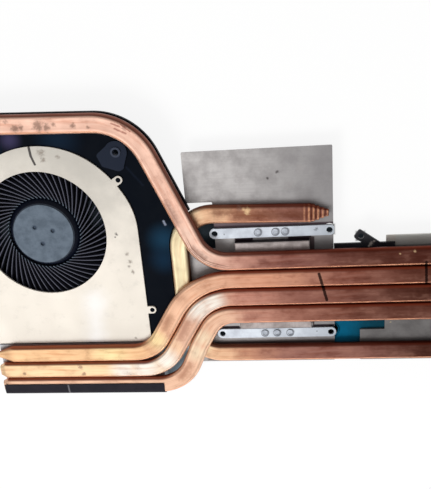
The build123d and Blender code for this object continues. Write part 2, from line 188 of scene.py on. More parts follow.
def blots(tree, where, torn, rows, growth=1.0):
    # stains with torn edges, from rows of x, y, radius
    return either(tree, [
        tornEdge(tree, flatDistance(tree, where, (x, y)), radius * growth, torn, blotEdge)
        for x, y, radius in rows])


def smears(tree, where, torn, rows):
    # soft stains along lines, with torn edges, from rows of start, end, width
    return either(tree, [
        tornEdge(tree, lineDistance(tree, where, start, end), width, torn, smearEdge)
        for start, end, width in rows])


def strokes(tree, where, rows):
    # crisp pen lines, from rows of start, end, width
    return either(tree, [
        fade(tree, lineDistance(tree, where, start, end), *(width * share for share in penEdge))
        for start, end, width in rows])


def newFinish(name, sockets):
    finish = bpy.data.materials.new(name)
    finish.use_nodes = True
    tree = finish.node_tree
    tree.nodes.clear()
    shader = addNode(tree, "BsdfPrincipled", sockets)
    addNode(tree, "OutputMaterial", {"Surface": shader.outputs[0]})
    return finish, tree, shader


def roughen(tree, shader, height, depth):
    bump = addNode(tree, "Bump", {"Height": height, "Strength": 1.0, "Distance": depth * mm})
    tree.links.new(bump.outputs[0], shader.inputs["Normal"])


def colour(tree, shader, value):
    tree.links.new(value, shader.inputs["Base Color"])


def matte(tree, shader, value):
    tree.links.new(value, shader.inputs["Roughness"])


def addObject(bm, name, finish, smooth):
    for face in bm.faces:
        face.smooth = smooth
    mesh = bpy.data.meshes.new(name)
    bm.to_mesh(mesh)
    bm.free()
    made = bpy.data.objects.new(name, mesh)
    bpy.context.scene.collection.objects.link(made)
    mesh.materials.append(finish)
    return made


# Camera

photoCamera = {
    "place": (9.3, 113.8, 242.9), "turn": (-22.11, 5.64, -4.41), "lens": 49.3, "sensor": 36.0,
    "clipStart": 0.01,
}


def setCamera():
    lens = bpy.data.cameras.new("photoCamera")
    lens.lens = photoCamera["lens"]
    lens.sensor_width = photoCamera["sensor"]
    lens.clip_start = photoCamera["clipStart"]
    eye = bpy.data.objects.new("photoCamera", lens)
    eye.location = Vector(photoCamera["place"]) * mm
    eye.rotation_euler = [math.radians(a) for a in photoCamera["turn"]]
    bpy.context.scene.collection.objects.link(eye)
    bpy.context.scene.camera = eye


# Floor, sky and lamps

gapShade = (62, 72, 80)
studio = {
    "floorSize": 6.0, "floorGap": 0.05,
    "floorColour": (250, 250, 249),
    "floorWhite": 0.88,
    # painted shadow on the floor under the part, dark where its gaps and holes show the floor: low x, low
    # y, high x, high y, then soft edge and colour
    "shades": [
        ((-62, -49.5, -36, -22), 3.5, (146, 166, 178)),
        ((-120, -18, -44, 61), 4.0, gapShade),
        ((-54, -34, 23.4, 28), 4.0, gapShade),
        ((-20, 24, 24, 50), 5.0, gapShade),
        ((24, -32, 78, 14), 4.0, gapShade),
        ((31.9, 13.6, 36.6, 18.8), 1.2, gapShade),
        ((20.0, 16.8, 25.0, 22.2), 1.2, gapShade),
    ],
    "skyTowards": (-0.4, -0.4, 0.825),
    "skyFade": (0.86, 0.98),
    "skyBright": 1.5,
    "skyDim": 0.46,
    "horizon": (0.25, 0.12),
    "lamps": {
        "keyBox": {
            "place": (-360, -320, 575), "aim": (-60, 0, 5), "size": (330, 300), "power": 3.4,
            "mirrored": False},
        "southStrip": {
            "place": (60, -900, 330), "aim": (0, 0, 0), "size": (1100, 200), "power": 1.6,
            "mirrored": True},
    },
}


def floorFinish():
    finish = bpy.data.materials.new("floorPaper")
    finish.use_nodes = True
    tree = finish.node_tree
    tree.nodes.clear()
    white = addNode(tree, "Emission", {"Color": (1, 1, 1, 1), "Strength": 1.0})
    where = placeInMm(tree)
    masks = []
    body = tint(*studio["floorColour"])
    # painted shadow laid on the floor, box by box
    for box, edge, shade in studio["shades"]:
        masks.append(inBox(tree, where, box, edge))
        body = coat(tree, body, masks[-1], shade)
    paper = addNode(tree, "BsdfDiffuse", {"Color": body})
    bare = sums(tree, "SUBTRACT", 1.0, either(tree, masks))
    path = addNode(tree, "LightPath").outputs
    seen = either(tree, [path["Is Camera Ray"], path["Is Glossy Ray"], path["Is Transmission Ray"]])
    share = times(tree, times(tree, bare, studio["floorWhite"]), seen)
    both = addNode(tree, "MixShader", {0: share, 1: paper.outputs[0], 2: white.outputs[0]})
    # open from below, so that the underside can be seen
    below = addNode(tree, "NewGeometry").outputs["Backfacing"]
    clear = addNode(tree, "BsdfTransparent")
    both = addNode(tree, "MixShader", {0: below, 1: both.outputs[0], 2: clear.outputs[0]})
    addNode(tree, "OutputMaterial", {"Surface": both.outputs[0]})
    return finish


def setFloor():
    bm = bmesh.new()
    bmesh.ops.create_grid(bm, x_segments=2, y_segments=2, size=studio["floorSize"] / 2)
    bmesh.ops.translate(bm, vec=(0, 0, cadBox[0].z - studio["floorGap"] * mm), verts=bm.verts)
    floor = addObject(bm, "floor", floorFinish(), False)


def setSky():
    sky = bpy.data.worlds.new("sky")
    sky.use_nodes = True
    tree = sky.node_tree
    tree.nodes.clear()
    looking = addNode(tree, "TexCoord").outputs["Generated"]
    towards = measure(tree, "DOT_PRODUCT", looking, studio["skyTowards"])
    level = fade(tree, towards, *studio["skyFade"], studio["skyDim"], studio["skyBright"])
    low = fade(tree, axisOf(tree, looking, 2), *studio["horizon"])
    level = sums(tree, "MAXIMUM", level, low)
    back = addNode(tree, "Background", {"Color": (1, 1, 1, 1), "Strength": level})
    addNode(tree, "OutputWorld", {"Surface": back.outputs[0]})
    bpy.context.scene.world = sky


def setLamps():
    for name, facts in studio["lamps"].items():
        lamp = bpy.data.lights.new(name, "AREA")
        lamp.shape = "RECTANGLE"
        lamp.size, lamp.size_y = (side * mm for side in facts["size"])
        lamp.energy = facts["power"]
        holder = bpy.data.objects.new(name, lamp)
        place, aim = (Vector(facts[key]) * mm for key in ("place", "aim"))
        holder.location = place
        holder.rotation_euler = (aim - place).to_track_quat("-Z", "Y").to_euler()
        holder.visible_glossy = facts["mirrored"]
        bpy.context.scene.collection.objects.link(holder)


setCamera()
setFloor()
setSky()
setLamps()
bpy.context.scene.view_settings.view_transform = "Standard"
print("camera, floor and lamps set")


# Heat pipes

# round tube pressed flat, a hair thinner than the CAD pipe
tubeRound, tubeFlat, inset = 6.0, 3.2, 0.02
pipeSize = {
    "height": tubeFlat - inset,
    "width": tubeFlat + math.pi / 2 * (tubeRound - tubeFlat) - inset,
    "roundSteps": 10, "flatSteps": 12, "ringStep": 1.0, "tipRings": 18, "weld": 1e-4,
    "dish": 0.07, "dishReach": 0.58, "ribTurns": 4, "tipEase": 0.35,
}
# length, width and height of the two kinds of pipe end
crimped = (7.0, 2.6, 1.2)
blunt = (2.4, 4.8, 2.0)
# middle heights of the two layers of pipes
rowTop, rowLow = 6.1, 2.8
# pen lines that cross two pipes each
farStroke = [((57.2, 9.9), (57.6, -0.8), 1.0)]
nearStroke = [((17.5, 6.3), (18.6, 2.0), 1.1), ((18.6, 2.0), (20.3, -4.9), 1.1)]
# darkening rows are a shade, then the x where it starts and the x where it is full
# painted glint spots, smudges and specks are x, y, radius, and smears, scratches and pen are start, end,
# width
pipes = {
    "upperHeatPipe": {
        "node": "upper_heat_pipe", "z": rowTop,
        "points": [(-118.0, 70.452), (-49.5, 68.0), (-26.1, 12.047), (75.0, 12.047)],
        "bends": [22.0, 14.0], "firstEnd": crimped, "crimps": 0.03,
        "clean": (252, 207, 185), "oxide": (100, 42, 28),
        "ageing": [
            ((206, 152, 134), -29, -10), ((158, 107, 96), -18, 8), ((116, 71, 60), 2, 40),
            ((96, 52, 43), 34, 64)],
        "worn": [(-27.5, 14.8, 5.0), (-31.5, 24.0, 3.0)],
        "wornShade": (250, 222, 204), "wornShare": 0.4,
        "smears": [((-38.6, 36.5), (-36.2, 29.5), 2.9), ((-30.0, 18.5), (-26.0, 14.2), 1.8)],
        "smearShade": (160, 120, 106),
        "smudges": [
            (-82.8, 68.8, 2.4), (-79.8, 68.0, 1.6), (-91.6, 68.3, 1.8), (-89.4, 68.6, 1.2),
            (-77.0, 68.9, 1.0), (-69.7, 68.1, 1.2), (-94.9, 71.0, 0.9), (-64.2, 67.2, 0.8),
            (-51.0, 66.2, 1.2)],
        "specks": [(52.9, 14.5, 0.6), (47.5, 13.5, 0.5)],
        "pen": farStroke,
        "scratches": [
            ((-55.5, 68.2), (-52.5, 66.9), 0.5), ((-54.5, 66.2), (-50.5, 64.2), 0.5),
            ((-52.0, 67.6), (-49.0, 64.9), 0.4)],
        # creases are places across the pipe, from -1 to 1, where dark lines of painted shade lie
        "creases": [0.35, 0.55, 0.7], "creaseBox": (-38, 8, -15, 24),
    },
    "innerFinPipe": {
        "node": "inner_fin_pipe", "z": rowTop,
        "points": [(-111.4, -27.702), (-51.0, -27.702), (-31.742, 4.349), (75.0, 4.349)],
        "bends": [14.0, 27.0], "firstEnd": crimped, "crimps": 0.0,
        "clean": (246, 202, 155), "oxide": (140, 60, 38),
        "ageing": [
            ((242, 194, 162), -58, -40), ((230, 168, 138), -32, -4), ((172, 114, 98), -6, 30),
            ((112, 66, 53), 20, 64)],
        "worn": [(-69.0, -27.7, 6.0), (-48.5, -21.5, 3.4)],
        "wornShade": (255, 236, 178), "wornShare": 0.7,
        "smears": [((-44.2, -15.5), (-42.0, -11.0), 2.4)],
        "smearShade": (188, 136, 108),
        "pen": nearStroke + farStroke,
    },
    "middleFinPipe": {
        "node": "middle_fin_pipe", "z": rowTop,
        "points": [(-116.0, -35.4), (-46.645, -35.4), (-27.387, -3.349), (75.0, -3.349)],
        "bends": [16.0, 19.302], "firstEnd": blunt, "crimps": 0.0,
        "clean": (255, 220, 176), "oxide": (140, 60, 38),
        "ageing": [
            ((230, 186, 160), -52, -36), ((218, 158, 138), -28, -10), ((160, 107, 93), -18, 12),
            ((92, 53, 42), 12, 66)],
        "worn": [
            (-64.0, -35.2, 5.0), (-55.0, -34.8, 6.5), (-46.0, -30.5, 4.5), (-30.0, -7.2, 4.8),
            (-24.5, -4.4, 4.2)],
        "wornShade": (255, 249, 238), "wornShare": 0.93,
        "smears": [((-39.0, -20.5), (-35.4, -14.0), 2.6)],
        "smearShade": (190, 136, 114),
        "smudges": [(-82.5, -33.6, 1.3), (-81.7, -37.0, 1.0), (-108.0, -36.5, 0.9)],
        "pen": nearStroke,
    },
    "outerFinPipe": {
        "node": "outer_fin_pipe", "z": rowTop,
        "points": [
            (-116.0, -43.098), (-39.3, -43.098), (-31.114, -24.5), (-23.031, -11.047),
            (75.0, -11.047)],
        "bends": [16.0, 20.0, 11.604], "firstEnd": blunt, "crimps": 0.0,
        "clean": (244, 200, 170), "oxide": (140, 60, 38),
        "ageing": [((212, 156, 136), -26, -6), ((172, 116, 99), -12, 12), ((126, 80, 67), 6, 48)],
        "worn": [(-32.6, -27.6, 3.4), (-29.2, -20.8, 3.2)],
        "wornShade": (254, 234, 202), "wornShare": 0.75,
        "smears": [((-40.0, -39.0), (-36.4, -33.5), 2.8)],
        "smearShade": (186, 130, 104),
    },
    "loopHeatPipe": {
        "node": "loop_heat_pipe", "z": rowLow,
        "points": [(14.8, 29.475), (-36.2, 30.9), (-36.2, -30.3), (73.0, -30.3)],
        "bends": [14.0, 14.0], "firstEnd": crimped, "crimps": 0.09,
        "clean": (254, 238, 196), "oxide": (96, 38, 24),
        "ageing": [
            ((244, 198, 160), -34, -25), ((208, 152, 124), -24, -10), ((170, 119, 106), -14, 8),
            ((94, 57, 47), 26, 64)],
        "smears": [((-12.0, 30.3), (16.0, 29.5), 3.3), ((-21.0, 31.6), (-9.0, 31.0), 2.0)],
        "smearShade": (116, 66, 46),
        "smudges": [(-11.4, 32.7, 1.2)], "specks": [(-8.8, 31.6, 1.5), (-10.0, 32.3, 0.9)],
    },
}
copper = {
    # noises by place: size, detail, roughness
    "clouds": {
        "blotch": (7.0, 5.0, 0.6), "stain": (1.3, 4.0, 0.65), "grain": (0.5, 3.0, 0.6),
        "dents": (5.0, 2.0)},
    # noises drawn out along the pipe: size, detail, roughness, stretch
    "lines": {
        "drawn": (0.35, 2.0, 0.5, (0.018, 1, 1)), "flow": (1.7, 3.0, 0.6, (0.09, 1, 1)),
        "mottle": (4.0, 3.0, 0.6, (0.45, 1, 1))},
    "halfWidth": 3.8, "ageSway": 20.0, "wornSoft": 0.8, "blotGrowth": 1.5, "penSway": 0.5,
    # darkening films: noise, shade, then low, high, least and most of its fade
    "films": [
        ("drawn", (196, 170, 162), (0.45, 0.72, 0.0, 0.24)),
        ("flow", (222, 186, 168), (0.48, 0.7, 0.0, 0.5)),
        ("blotch", (190, 160, 150), (0.52, 0.72, 0.0, 0.3))],
    "agedFade": (-24, 4),
    "tarnish": (182, 146, 136), "tarnishFade": (0.5, 0.68, 0.0, 0.48),
    "polish": (206, 150, 130), "polishFade": (0.5, 0.32, 0.0, 0.24),
    "smearShare": 0.65,
    "pit": (122, 74, 60), "pitFade": (0.6, 0.7), "pitPlaces": (0.5, 0.7, 0.0, 0.4),
    # painted highlight and shade on the ribs of a crimped end show from this depth of crimp
    "ribsFrom": 0.05, "tipFade": (11.0, 7.0), "tipTorn": (0.3, 0.6, 0.35, 1.0),
    "rib": (250, 180, 138), "ribFade": (0.0, 0.8, 0.0, 0.9), "valleyFade": (0.0, -0.8, 0.0, 0.7),
    "rim": (246, 178, 140), "rimTowards": (-0.5, -0.87, 0.0), "rimRise": (0.15, 0.35),
    "rimFall": (0.75, 0.5, 0.0, 0.75), "rimTorn": (0.36, 0.58, 0.4, 1.0),
    "oxideTowards": (0.62, 0.78, 0.0), "oxideFade": (0.1, 0.5, 0.0, 0.9),
    "underFade": (0.25, -0.2, 0.0, 0.5),
    "creaseSway": 0.5, "creaseEdge": (0.05, 0.015), "creaseEnds": 4.0,
    # marks and the painted crease shade: shade and share
    "crease": ((104, 62, 52), 0.7), "smudge": ((146, 112, 98), 0.75), "speck": ((246, 208, 160), 0.8),
    "scratch": ((150, 78, 66), 0.7), "ink": ((26, 14, 14), 0.9),
    "rough": (0.34, 0.48), "dentHeight": 3.0, "bump": 0.012,
}


def copperFinish(name, facts):
    finish, tree, shader = newFinish(name, {"Metallic": 1.0})
    where = placeInMm(tree)
    along = addNode(tree, "Attribute", attribute_name="along").outputs["Fac"]
    lateral = addNode(tree, "Attribute", attribute_name="lateral").outputs["Fac"]
    across = times(tree, lateral, copper["halfWidth"])
    unrolled = addNode(tree, "CombineXYZ", {0: along, 1: across}).outputs[0]
    clouds = {key: noise(tree, where, *row) for key, row in copper["clouds"].items()}
    clouds.update({key: noise(tree, unrolled, *row) for key, row in copper["lines"].items()})
    blotch, stain, mottle = clouds["blotch"], clouds["stain"], clouds["mottle"]

    # copper over the fins is clean and pale, its paleness partly a painted highlight, and it darkens with
    # tarnish toward the far end
    reach = swayed(tree, axisOf(tree, where, 0), blotch, copper["ageSway"])
    body = tint(*facts["clean"])
    for shade, low, high in facts["ageing"]:
        body = coat(tree, body, fade(tree, reach, low, high), shade)
    # painted highlights: pale spots where the pipes catch the light
    if "worn" in facts:
        rubbed = either(tree, [
            spot(tree, where, (x, y), radius, copper["wornSoft"]) for x, y, radius in facts["worn"]])
        body = coat(tree, body, rubbed, facts["wornShade"], facts["wornShare"])
    for cloud, shade, span in copper["films"]:
        body = blend(tree, fade(tree, clouds[cloud], *span), body, tint(*shade), "MULTIPLY")

    # uneven tarnish on the aged half, then stains and pits
    aged = fade(tree, reach, *copper["agedFade"])
    dull = times(tree, fade(tree, mottle, *copper["tarnishFade"]), aged)
    body = blend(tree, dull, body, tint(*copper["tarnish"]), "MULTIPLY")
    bright = times(tree, fade(tree, mottle, *copper["polishFade"]), aged)
    body = coat(tree, body, bright, copper["polish"])
    soiled = smears(tree, where, stain, facts["smears"])
    body = coat(tree, body, soiled, facts["smearShade"], copper["smearShare"])
    pitted = fade(tree, clouds["grain"], *copper["pitFade"])
    pitted = times(tree, pitted, fade(tree, blotch, *copper["pitPlaces"]))
    body = coat(tree, body, pitted, copper["pit"])
    # painted highlight on the crests of the crimped ribs, painted shade in the valleys
    if facts["crimps"] > copper["ribsFrom"]:
        ribPace = 2 * math.pi * pipeSize["ribTurns"] / crimped[0]
        wave = sums(tree, "SINE", times(tree, along, ribPace))
        nearTip = fade(tree, along, *copper["tipFade"])
        nearTip = times(tree, nearTip, fade(tree, stain, *copper["tipTorn"]))
        valleys = times(tree, fade(tree, wave, *copper["valleyFade"]), nearTip)
        body = coat(tree, body, valleys, facts["oxide"])
        ribs = times(tree, fade(tree, wave, *copper["ribFade"]), nearTip)
        body = coat(tree, body, ribs, copper["rib"])

    # painted highlight along one flank, painted shade on the other and underneath
    facing = facingOf(tree)
    lit = measure(tree, "DOT_PRODUCT", facing, copper["rimTowards"])
    rim = times(tree, fade(tree, lit, *copper["rimRise"]), fade(tree, lit, *copper["rimFall"]))
    rim = times(tree, rim, fade(tree, mottle, *copper["rimTorn"]))
    body = coat(tree, body, rim, copper["rim"])
    # painted shade in an oxide brown on the flanks facing away from the light, and underneath
    shaded = measure(tree, "DOT_PRODUCT", facing, copper["oxideTowards"])
    body = coat(tree, body, fade(tree, shaded, *copper["oxideFade"]), facts["oxide"])
    under = fade(tree, axisOf(tree, facing, 2), *copper["underFade"])
    body = coat(tree, body, under, facts["oxide"])

    # painted shade in the creases, then marks
    if "creases" in facts:
        wander = swayed(tree, lateral, blotch, copper["creaseSway"])
        lines = either(tree, [
            fade(tree, sums(tree, "ABSOLUTE", sums(tree, "SUBTRACT", wander, line)), *copper["creaseEdge"])
            for line in facts["creases"]])
        lines = times(tree, lines, inBox(tree, where, facts["creaseBox"], copper["creaseEnds"]))
        body = coat(tree, body, lines, *copper["crease"])
    for rows, mark in (("smudges", "smudge"), ("specks", "speck")):
        if rows in facts:
            mask = blots(tree, where, stain, facts[rows], copper["blotGrowth"])
            body = coat(tree, body, mask, *copper[mark])
    if "scratches" in facts:
        body = coat(tree, body, smears(tree, where, stain, facts["scratches"]), *copper["scratch"])
    if "pen" in facts:
        torn = swayed(tree, 0.0, clouds["grain"], copper["penSway"])
        shift = addNode(tree, "CombineXYZ", {0: torn, 1: torn}).outputs[0]
        ragged = vectors(tree, "ADD", where, shift)
        body = coat(tree, body, strokes(tree, ragged, facts["pen"]), *copper["ink"])
    colour(tree, shader, body)
    matte(tree, shader, fade(tree, blotch, *noiseSpan, *copper["rough"]))
    height = sums(tree, "MULTIPLY_ADD", clouds["dents"], copper["dentHeight"], clouds["drawn"])
    roughen(tree, shader, height, copper["bump"])
    return finish


def pipeSection(bm, lateral):
    # half round, flat, half round, flat, in the XZ plane
    rise = pipeSize["height"] / 2
    flat = (pipeSize["width"] - pipeSize["height"]) / 2
    corner = bmesh.ops.create_vert(bm, co=(flat, 0, -rise))["vert"][0]
    for side in (1, -1):
        turned = bmesh.ops.spin(
            bm, geom=[corner], cent=(side * flat, 0, 0), axis=(0, -1, 0), angle=math.pi,
            steps=pipeSize["roundSteps"])
        corner = [g for g in turned["geom_last"] if isinstance(g, bmesh.types.BMVert)][0]
        step = -side * 2 * flat / pipeSize["flatSteps"]
        for i in range(pipeSize["flatSteps"]):
            corner = bmesh.ops.extrude_vert_indiv(bm, verts=[corner])["verts"][0]
            bmesh.ops.translate(bm, vec=(step, 0, 0), verts=[corner])
    bmesh.ops.remove_doubles(bm, verts=bm.verts, dist=pipeSize["weld"])
    for vert in bm.verts:
        vert[lateral] = vert.co.x / (pipeSize["width"] / 2)
    return list(bm.edges)


def ringVerts(edges):
    return list({vert for edge in edges for vert in edge.verts})


def pushRing(bm, edges, step):
    made = bmesh.ops.extrude_edge_only(bm, edges=edges)["geom"]
    fresh = {g for g in made if isinstance(g, bmesh.types.BMVert)}
    bmesh.ops.translate(bm, vec=step, verts=list(fresh))
    return [g for g in made if isinstance(g, bmesh.types.BMEdge) and set(g.verts) <= fresh]


def headingOf(direction):
    return Matrix.Rotation(math.atan2(direction.y, direction.x) - math.pi / 2, 4, "Z")


def tipShare(pinch, crimps):
    # 0 at the full section, 1 at the pinched end, with crimped ribs on the way
    ribs = crimps * math.sin(pinch * math.pi) * math.sin(pinch * 2 * math.pi * pipeSize["ribTurns"])
    eased = pinch * pinch * (3 - 2 * pinch)
    return eased * pipeSize["tipEase"] + pinch * (1 - pipeSize["tipEase"]) + ribs


def makePipe(name, facts):
    bm = bmesh.new()
    along = bm.verts.layers.float.new("along")
    lateral = bm.verts.layers.float.new("lateral")
    edges = pipeSection(bm, lateral)
    points = [Vector((x, y, facts["z"])) for x, y in facts["points"]]
    first = facts["firstEnd"]
    rings = pipeSize["tipRings"]

    def sizes(pinch, end):
        share = tipShare(pinch, facts["crimps"])
        narrow = (end[1] / pipeSize["width"], end[2] / pipeSize["height"])
        return [1 + (n - 1) * share for n in narrow]

    def squeeze(edges, centre, direction, before, after):
        local = (Matrix.Translation(centre) @ headingOf(direction)).inverted()
        scale = (after[0] / before[0], 1, after[1] / before[1])
        bmesh.ops.scale(bm, vec=scale, space=local, verts=ringVerts(edges))

    def mark(edges, distance):
        for vert in ringVerts(edges):
            vert[along] = distance

    def pushTip(edges, here, distance, direction, end, pinches):
        # pinches are the tip's shares ring by ring, from the ring that it grows out of
        step = end[0] / rings
        for before, after in zip(pinches, pinches[1:]):
            edges = pushRing(bm, edges, direction * step)
            here = here + direction * step
            distance += step
            squeeze(edges, here, direction, sizes(before, end), sizes(after, end))
            mark(edges, distance)
        return edges, here, distance

    # first end
    direction = (points[1] - points[0]).normalized()
    here = points[0] - direction * first[0]
    bmesh.ops.transform(bm, matrix=Matrix.Translation(here) @ headingOf(direction), verts=bm.verts)
    squeeze(edges, here, direction, (1, 1), sizes(1, first))
    mark(edges, 0.0)
    bmesh.ops.edgeloop_fill(bm, edges=edges)
    closing = [i / rings for i in range(rings + 1)]
    opening = [1 - share for share in closing]
    edges, here, distance = pushTip(edges, here, 0.0, direction, first, opening)

    # straight runs and bends
    for i, goal in enumerate(points[1:]):
        last = i == len(points) - 2
        direction = (goal - points[i]).normalized()
        leave = direction if last else (points[i + 2] - goal).normalized()
        swing = math.atan2(direction.cross(leave).z, direction.dot(leave))
        bend = 0 if last else facts["bends"][i]
        stop = goal - direction * bend * math.tan(abs(swing) / 2)
        count = max(1, round((stop - here).length / pipeSize["ringStep"]))
        step = (stop - here) / count
        for k in range(count):
            edges = pushRing(bm, edges, step)
            distance += step.length
            mark(edges, distance)
        here = stop
        if last:
            break
        side = Vector((-direction.y, direction.x, 0)) * math.copysign(1, swing)
        centre = here + side * bend
        count = max(2, round(abs(swing) * bend / pipeSize["ringStep"]))
        for k in range(count):
            turned = bmesh.ops.spin(
                bm, geom=edges, cent=centre, axis=(0, 0, 1), angle=swing / count, steps=1)["geom_last"]
            edges = [g for g in turned if isinstance(g, bmesh.types.BMEdge)]
            distance += abs(swing) * bend / count
            mark(edges, distance)
        here = goal + leave * bend * math.tan(abs(swing) / 2)

    # last end
    edges = pushTip(edges, here, distance, direction, crimped, closing)[0]
    bmesh.ops.edgeloop_fill(bm, edges=edges)

    # pressed flats sink a little in the middle
    for vert in bm.verts:
        inner = max(0.0, 1 - (vert[lateral] / pipeSize["dishReach"]) ** 2)
        lift = vert.co.z - facts["z"]
        vert.co.z -= math.copysign(pipeSize["dish"] * inner, lift)
    bmesh.ops.scale(bm, vec=(mm, mm, mm), verts=bm.verts)
    bmesh.ops.recalc_face_normals(bm, faces=bm.faces)
    piece = addObject(bm, name, copperFinish(name + "Copper", facts), True)
    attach(piece, "heatsink")
    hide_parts(facts["node"])


for name, facts in pipes.items():
    makePipe(name, facts)
print("heat pipes made")


# Soft pads

pads = {
    # the memory pad turns darker from x 24 to 40: a painted shade
    "memoryPad": {
        "node": "memory_pad", "edge": 0.22, "body": (2, 92, 124), "dark": (8, 58, 74),
        "turnsAt": (24, 40)},
    "regulatorPad": {
        "node": "regulator_pad", "edge": 0.3, "body": (96, 128, 138), "dark": (78, 108, 118),
        "turnsAt": (-20, 20)},
}
padLook = {
    "rough": 0.7, "specular": 0.1, "cloud": (3.0, 4.0, 0.6), "sway": 10.0, "grain": (0.5, 3.0),
    "bump": 0.03,
    # angles in degrees, lengths in mm
    "weld": 0.001, "flatAngle": 1, "rimAngle": 60, "rimSteps": 3, "broadFrom": 0.99,
    "hollowFrom": 0.6, "hollow": 0.03,
}


def padFinish(name, facts):
    finish, tree, shader = newFinish(
        name, {"Roughness": padLook["rough"], "Specular IOR Level": padLook["specular"]})
    where = placeInMm(tree)
    cloud = noise(tree, where, *padLook["cloud"])
    reach = swayed(tree, axisOf(tree, where, 0), cloud, padLook["sway"])
    # darker past the turn; on the memory pad this is a painted shade
    turned = fade(tree, reach, *facts["turnsAt"])
    colour(tree, shader, coat(tree, tint(*facts["body"]), turned, facts["dark"]))
    roughen(tree, shader, noise(tree, where, *padLook["grain"]), padLook["bump"])
    return finish


def makePad(name, facts):
    bm = bmesh.new()
    bm.from_mesh(nodes[facts["node"]].data)
    bmesh.ops.remove_doubles(bm, verts=bm.verts, dist=padLook["weld"] * mm)
    bmesh.ops.dissolve_limit(
        bm, angle_limit=math.radians(padLook["flatAngle"]), verts=bm.verts, edges=bm.edges)
    sharp = math.radians(padLook["rimAngle"])
    rims = [e for e in bm.edges if len(e.link_faces) == 2 and e.calc_face_angle() > sharp]
    bmesh.ops.bevel(
        bm, geom=rims, offset=facts["edge"] * mm, offset_type="OFFSET", segments=padLook["rimSteps"],
        profile=0.5, affect="EDGES", material=-1, clamp_overlap=True)
    broad = [f for f in bm.faces if abs(f.normal.z) > padLook["broadFrom"]]
    bmesh.ops.inset_individual(
        bm, faces=broad, thickness=padLook["hollowFrom"] * mm, depth=-padLook["hollow"] * mm)
    bmesh.ops.triangulate(bm, faces=bm.faces)
    piece = addObject(bm, name, padFinish(name + "Soft", facts), True)
    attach(piece, "heatsink")
    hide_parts(facts["node"])


for name, facts in pads.items():
    makePad(name, facts)
print("soft pads made")


# Finishes on the CAD pieces

# noises are size, detail, roughness, and marks are shade, share
cover = {
    "metallic": 0.35, "specular": 0.3,
    "cloud": (16.0, 5.0, 0.6), "patch": (5.0, 6.0, 0.7), "stain": (1.1, 4.0, 0.65), "grain": (1.2, 4.0),
    "sheet": (236, 228, 216), "upper": (198, 193, 184), "upperFade": (0, 70), "upperSway": 60.0,
    "grey": (206, 199, 188), "greyFade": (0.52, 0.8, 0.0, 0.6),
    "gleam": ((252, 251, 252), 0.5), "gleamLine": ((-73.0, -4.0), (-75.5, -26.0), 7.0),
    "dirt": ((128, 116, 104), 0.7), "ink": ((38, 32, 34), 0.9),
    "smudges": [
        (-84.8, 58.0, 2.4), (-84.4, 55.3, 1.8), (-57.1, 15.8, 1.3), (-56.3, 12.3, 1.5),
        (-55.7, 8.0, 1.3), (-58.1, -22.1, 1.0), (-78.6, 56.0, 1.4), (-56.9, 10.4, 1.1)],
    "dots": [(-60.2, 24.2, 1.0), (-60.8, 23.0, 0.6)],
    "pen": [((-89.2, 60.3), (-89.0, 56.9), 1.0), ((-89.0, 56.9), (-88.0, 53.7), 0.9)],
    "rough": (0.36, 0.5), "bump": 0.012,
}


def coverFinish():
    finish, tree, shader = newFinish(
        "coverSheet", {"Metallic": cover["metallic"], "Specular IOR Level": cover["specular"]})
    where = placeInMm(tree)
    cloud = noise(tree, where, *cover["cloud"])
    stain = noise(tree, where, *cover["stain"])
    # darker toward the top: a painted shade
    reach = swayed(tree, axisOf(tree, where, 1), cloud, cover["upperSway"])
    body = coat(tree, tint(*cover["sheet"]), fade(tree, reach, *cover["upperFade"]), cover["upper"])
    patches = fade(tree, noise(tree, where, *cover["patch"]), *cover["greyFade"])
    body = coat(tree, body, patches, cover["grey"])
    # a painted reflection: a pale band down the cover
    body = coat(tree, body, smears(tree, where, cloud, [cover["gleamLine"]]), *cover["gleam"])
    body = coat(tree, body, blots(tree, where, stain, cover["smudges"]), *cover["dirt"])
    dark = either(tree, [blots(tree, where, stain, cover["dots"]), strokes(tree, where, cover["pen"])])
    body = coat(tree, body, dark, *cover["ink"])
    colour(tree, shader, body)
    matte(tree, shader, fade(tree, cloud, *noiseSpan, *cover["rough"]))
    roughen(tree, shader, noise(tree, where, *cover["grain"]), cover["bump"])
    return finish


housing = {
    "specular": 0.05, "stain": (6.0, 4.0, 0.6), "torn": (0.9, 4.0, 0.65), "grain": (0.35, 3.0, 0.6),
    "body": (4, 9, 18),
    # painted reflections, soft coloured sheens: place, radius, shade
    "sheens": [
        ((-41.8, 21.0), 4.5, (18, 50, 72)), ((-42.8, 12.5), 4.0, (12, 36, 56)),
        ((-96.5, 63.5), 3.0, (58, 54, 84)), ((-106.0, 60.0), 3.5, (12, 44, 76)),
        ((-78.0, 63.5), 6.0, (10, 28, 46))],
    "streak": ((-53.0, 50.6), (-47.5, 43.4), 0.6), "streakShade": (13, 20, 32),
    "rubbed": ((-41.2, 28.6), (-40.6, 27.2), 0.6), "rubbedShade": (136, 143, 160),
    "ear": (33, 39, 52), "earSpot": ((-57.5, 55.2), 7.6, 0.08), "earRise": (3.85, 4.1),
    "ring": ((66, 72, 86), 0.8), "ringSpot": ((-56.3, 56.7), 1.9, 0.12),
    "rough": (0.3, 0.45), "bump": 0.008,
}


